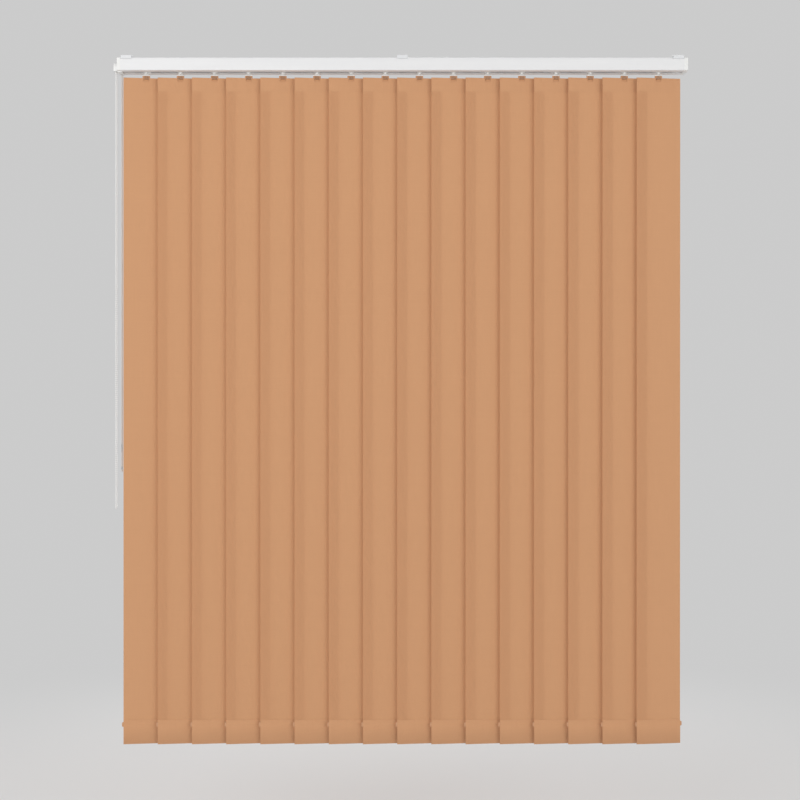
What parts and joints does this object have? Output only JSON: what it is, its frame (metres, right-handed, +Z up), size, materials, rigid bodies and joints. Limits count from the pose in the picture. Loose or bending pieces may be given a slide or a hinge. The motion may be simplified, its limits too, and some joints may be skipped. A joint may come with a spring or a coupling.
{
  "type": "vertical blind",
  "caption": "Vertical blind: fabric vanes with weighted hems hang from carriers in a white headrail, turned by a bead chain and drawn along by a cord loop.",
  "frame": {"origin": "middle of the top faces of the ceiling clips, half way along the rail and on the stems' line", "axes": "+X along the rail towards the return end, -Y towards the room, +Z up"},
  "size_m": [1.1302, 0.0466, 1.3585],
  "materials": {
    "white_plastic": "satin moulded",
    "toned_plastic": "satin moulded, in the tone of the fabric",
    "white_rail": "white powder coat",
    "plated_steel": "white coated spring steel",
    "bare_aluminium": "extruded",
    "bright_steel": "drawn",
    "white_cord": "braided",
    "vane_fabric": "plain woven, translucent"
  },
  "bodies": {
    "rail": {"headrail": "white_rail", "control_end_cap": "white_plastic", "chain_guard": "white_plastic", "return_end_cap": "white_plastic", "ceiling_clips": "plated_steel", "tilt_chain": "white_plastic", "draw_cord_run": "white_cord", "draw_cord_loop": "white_cord", "pulley_pin": "bright_steel", "carrier_16": "white_plastic"},
    "tilt_rod": {"tilt_rod": "bare_aluminium", "chain_wheel": "white_plastic"},
    "return_pulley": {"return_pulley": "white_plastic"},
    "carrier_01": {"carrier_01": "white_plastic"},
    "carrier_02": {"carrier_02": "white_plastic"},
    "carrier_03": {"carrier_03": "white_plastic"},
    "carrier_04": {"carrier_04": "white_plastic"},
    "carrier_05": {"carrier_05": "white_plastic"},
    "carrier_06": {"carrier_06": "white_plastic"},
    "carrier_07": {"carrier_07": "white_plastic"},
    "carrier_08": {"carrier_08": "white_plastic"},
    "carrier_09": {"carrier_09": "white_plastic"},
    "carrier_10": {"carrier_10": "white_plastic"},
    "carrier_11": {"carrier_11": "white_plastic"},
    "carrier_12": {"carrier_12": "white_plastic"},
    "carrier_13": {"carrier_13": "white_plastic"},
    "carrier_14": {"carrier_14": "white_plastic"},
    "carrier_15": {"carrier_15": "white_plastic"},
    "vane_01": {"stem_01": "white_plastic", "vane_01": "vane_fabric"},
    "vane_02": {"stem_02": "white_plastic", "vane_02": "vane_fabric"},
    "vane_03": {"stem_03": "white_plastic", "vane_03": "vane_fabric"},
    "vane_04": {"stem_04": "white_plastic", "vane_04": "vane_fabric"},
    "vane_05": {"stem_05": "white_plastic", "vane_05": "vane_fabric"},
    "vane_06": {"stem_06": "white_plastic", "vane_06": "vane_fabric"},
    "vane_07": {"stem_07": "white_plastic", "vane_07": "vane_fabric"},
    "vane_08": {"stem_08": "white_plastic", "vane_08": "vane_fabric"},
    "vane_09": {"stem_09": "white_plastic", "vane_09": "vane_fabric"},
    "vane_10": {"stem_10": "white_plastic", "vane_10": "vane_fabric"},
    "vane_11": {"stem_11": "white_plastic", "vane_11": "vane_fabric"},
    "vane_12": {"stem_12": "white_plastic", "vane_12": "vane_fabric"},
    "vane_13": {"stem_13": "white_plastic", "vane_13": "vane_fabric"},
    "vane_14": {"stem_14": "white_plastic", "vane_14": "vane_fabric"},
    "vane_15": {"stem_15": "white_plastic", "vane_15": "vane_fabric"},
    "vane_16": {"stem_16": "white_plastic", "vane_16": "vane_fabric"}
  },
  "joints": [
    {"name": "vane_16_tilt", "type": "hinge", "parent": "rail", "child": "vane_16", "pos_m": [0.507, 0, -0.03], "axis": [0, 0, 1], "range_deg": [0, 164]},
    {"name": "vane_01_tilt", "type": "hinge", "parent": "carrier_01", "child": "vane_01", "pos_m": [-0.507, 0, -0.03], "axis": [0, 0, 1], "range_deg": [0, 164]},
    {"name": "vane_02_tilt", "type": "hinge", "parent": "carrier_02", "child": "vane_02", "pos_m": [-0.4394, 0, -0.03], "axis": [0, 0, 1], "range_deg": [0, 164]},
    {"name": "vane_03_tilt", "type": "hinge", "parent": "carrier_03", "child": "vane_03", "pos_m": [-0.3718, 0, -0.03], "axis": [0, 0, 1], "range_deg": [0, 164]},
    {"name": "vane_04_tilt", "type": "hinge", "parent": "carrier_04", "child": "vane_04", "pos_m": [-0.3042, 0, -0.03], "axis": [0, 0, 1], "range_deg": [0, 164]},
    {"name": "vane_05_tilt", "type": "hinge", "parent": "carrier_05", "child": "vane_05", "pos_m": [-0.2366, 0, -0.03], "axis": [0, 0, 1], "range_deg": [0, 164]},
    {"name": "vane_06_tilt", "type": "hinge", "parent": "carrier_06", "child": "vane_06", "pos_m": [-0.169, 0, -0.03], "axis": [0, 0, 1], "range_deg": [0, 164]},
    {"name": "vane_07_tilt", "type": "hinge", "parent": "carrier_07", "child": "vane_07", "pos_m": [-0.1014, 0, -0.03], "axis": [0, 0, 1], "range_deg": [0, 164]},
    {"name": "vane_08_tilt", "type": "hinge", "parent": "carrier_08", "child": "vane_08", "pos_m": [-0.0338, 0, -0.03], "axis": [0, 0, 1], "range_deg": [0, 164]},
    {"name": "vane_09_tilt", "type": "hinge", "parent": "carrier_09", "child": "vane_09", "pos_m": [0.0338, 0, -0.03], "axis": [0, 0, 1], "range_deg": [0, 164]},
    {"name": "vane_10_tilt", "type": "hinge", "parent": "carrier_10", "child": "vane_10", "pos_m": [0.1014, 0, -0.03], "axis": [0, 0, 1], "range_deg": [0, 164]},
    {"name": "vane_11_tilt", "type": "hinge", "parent": "carrier_11", "child": "vane_11", "pos_m": [0.169, 0, -0.03], "axis": [0, 0, 1], "range_deg": [0, 164]},
    {"name": "vane_12_tilt", "type": "hinge", "parent": "carrier_12", "child": "vane_12", "pos_m": [0.2366, 0, -0.03], "axis": [0, 0, 1], "range_deg": [0, 164]},
    {"name": "vane_13_tilt", "type": "hinge", "parent": "carrier_13", "child": "vane_13", "pos_m": [0.3042, 0, -0.03], "axis": [0, 0, 1], "range_deg": [0, 164]},
    {"name": "vane_14_tilt", "type": "hinge", "parent": "carrier_14", "child": "vane_14", "pos_m": [0.3718, 0, -0.03], "axis": [0, 0, 1], "range_deg": [0, 164]},
    {"name": "vane_15_tilt", "type": "hinge", "parent": "carrier_15", "child": "vane_15", "pos_m": [0.4394, 0, -0.03], "axis": [0, 0, 1], "range_deg": [0, 164]},
    {"name": "tilt_rod_turn", "type": "hinge", "parent": "rail", "child": "tilt_rod", "pos_m": [0, -0.0085, -0.0215], "axis": [1, 0, 0], "range_deg": [0, 1640]},
    {"name": "carrier_01_draw", "type": "slide", "parent": "rail", "child": "carrier_01", "axis": [1, 0, 0], "range_m": [0, 0.714]},
    {"name": "carrier_02_draw", "type": "slide", "parent": "rail", "child": "carrier_02", "axis": [1, 0, 0], "range_m": [0, 0.6665]},
    {"name": "carrier_03_draw", "type": "slide", "parent": "rail", "child": "carrier_03", "axis": [1, 0, 0], "range_m": [0, 0.6189]},
    {"name": "carrier_04_draw", "type": "slide", "parent": "rail", "child": "carrier_04", "axis": [1, 0, 0], "range_m": [0, 0.5713]},
    {"name": "carrier_05_draw", "type": "slide", "parent": "rail", "child": "carrier_05", "axis": [1, 0, 0], "range_m": [0, 0.5237]},
    {"name": "carrier_06_draw", "type": "slide", "parent": "rail", "child": "carrier_06", "axis": [1, 0, 0], "range_m": [0, 0.4761]},
    {"name": "carrier_07_draw", "type": "slide", "parent": "rail", "child": "carrier_07", "axis": [1, 0, 0], "range_m": [0, 0.4285]},
    {"name": "carrier_08_draw", "type": "slide", "parent": "rail", "child": "carrier_08", "axis": [1, 0, 0], "range_m": [0, 0.3809]},
    {"name": "carrier_09_draw", "type": "slide", "parent": "rail", "child": "carrier_09", "axis": [1, 0, 0], "range_m": [0, 0.3333]},
    {"name": "carrier_10_draw", "type": "slide", "parent": "rail", "child": "carrier_10", "axis": [1, 0, 0], "range_m": [0, 0.2857]},
    {"name": "carrier_11_draw", "type": "slide", "parent": "rail", "child": "carrier_11", "axis": [1, 0, 0], "range_m": [0, 0.2381]},
    {"name": "carrier_12_draw", "type": "slide", "parent": "rail", "child": "carrier_12", "axis": [1, 0, 0], "range_m": [0, 0.1905]},
    {"name": "carrier_13_draw", "type": "slide", "parent": "rail", "child": "carrier_13", "axis": [1, 0, 0], "range_m": [0, 0.1429]},
    {"name": "carrier_14_draw", "type": "slide", "parent": "rail", "child": "carrier_14", "axis": [1, 0, 0], "range_m": [0, 0.0953]},
    {"name": "carrier_15_draw", "type": "slide", "parent": "rail", "child": "carrier_15", "axis": [1, 0, 0], "range_m": [0, 0.0477]},
    {"name": "return_pulley_turn", "type": "hinge", "parent": "rail", "child": "return_pulley", "pos_m": [0.5445, 0.011, -0.02], "axis": [0, 0, 1], "range_deg": [0, 10228.3]}
  ],
  "couplings": [
    {"joint": "vane_01_tilt", "follows": "vane_16_tilt", "ratio": 1},
    {"joint": "vane_02_tilt", "follows": "vane_16_tilt", "ratio": 1},
    {"joint": "vane_03_tilt", "follows": "vane_16_tilt", "ratio": 1},
    {"joint": "vane_04_tilt", "follows": "vane_16_tilt", "ratio": 1},
    {"joint": "vane_05_tilt", "follows": "vane_16_tilt", "ratio": 1},
    {"joint": "vane_06_tilt", "follows": "vane_16_tilt", "ratio": 1},
    {"joint": "vane_07_tilt", "follows": "vane_16_tilt", "ratio": 1},
    {"joint": "vane_08_tilt", "follows": "vane_16_tilt", "ratio": 1},
    {"joint": "vane_09_tilt", "follows": "vane_16_tilt", "ratio": 1},
    {"joint": "vane_10_tilt", "follows": "vane_16_tilt", "ratio": 1},
    {"joint": "vane_11_tilt", "follows": "vane_16_tilt", "ratio": 1},
    {"joint": "vane_12_tilt", "follows": "vane_16_tilt", "ratio": 1},
    {"joint": "vane_13_tilt", "follows": "vane_16_tilt", "ratio": 1},
    {"joint": "vane_14_tilt", "follows": "vane_16_tilt", "ratio": 1},
    {"joint": "vane_15_tilt", "follows": "vane_16_tilt", "ratio": 1},
    {"joint": "tilt_rod_turn", "follows": "vane_16_tilt", "ratio": 10},
    {"joint": "carrier_02_draw", "follows": "carrier_01_draw", "ratio": 0.93333},
    {"joint": "carrier_03_draw", "follows": "carrier_01_draw", "ratio": 0.86667},
    {"joint": "carrier_04_draw", "follows": "carrier_01_draw", "ratio": 0.8},
    {"joint": "carrier_05_draw", "follows": "carrier_01_draw", "ratio": 0.73333},
    {"joint": "carrier_06_draw", "follows": "carrier_01_draw", "ratio": 0.66667},
    {"joint": "carrier_07_draw", "follows": "carrier_01_draw", "ratio": 0.6},
    {"joint": "carrier_08_draw", "follows": "carrier_01_draw", "ratio": 0.53333},
    {"joint": "carrier_09_draw", "follows": "carrier_01_draw", "ratio": 0.46667},
    {"joint": "carrier_10_draw", "follows": "carrier_01_draw", "ratio": 0.4},
    {"joint": "carrier_11_draw", "follows": "carrier_01_draw", "ratio": 0.33333},
    {"joint": "carrier_12_draw", "follows": "carrier_01_draw", "ratio": 0.26667},
    {"joint": "carrier_13_draw", "follows": "carrier_01_draw", "ratio": 0.2},
    {"joint": "carrier_14_draw", "follows": "carrier_01_draw", "ratio": 0.13333},
    {"joint": "carrier_15_draw", "follows": "carrier_01_draw", "ratio": 0.066667},
    {"joint": "return_pulley_turn", "follows": "carrier_01_draw", "rad_per_m": 250}
  ]
}
